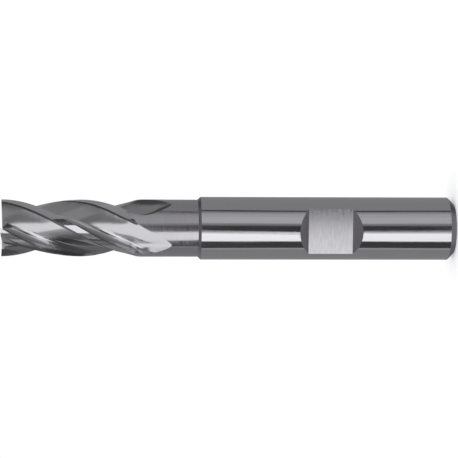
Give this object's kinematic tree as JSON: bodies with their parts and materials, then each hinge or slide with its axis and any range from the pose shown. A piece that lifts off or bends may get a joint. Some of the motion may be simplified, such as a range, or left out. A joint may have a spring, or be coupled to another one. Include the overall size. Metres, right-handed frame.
{
  "type": "end mill",
  "caption": "Solid carbide square end mill with helical flutes, a short ground neck and a cylindrical shank with one drive flat.",
  "frame": {"origin": "centre of the shank's end face", "axes": "+Z along the tool axis towards the cutting tip, +X through the corner of one cutting edge at the tip"},
  "size_m": [0.01, 0.01, 0.072],
  "materials": {
    "ground_carbide": "fine ground tungsten carbide, uncoated"
  },
  "bodies": {
    "root": {"end_mill": "ground_carbide"}
  },
  "joints": []
}
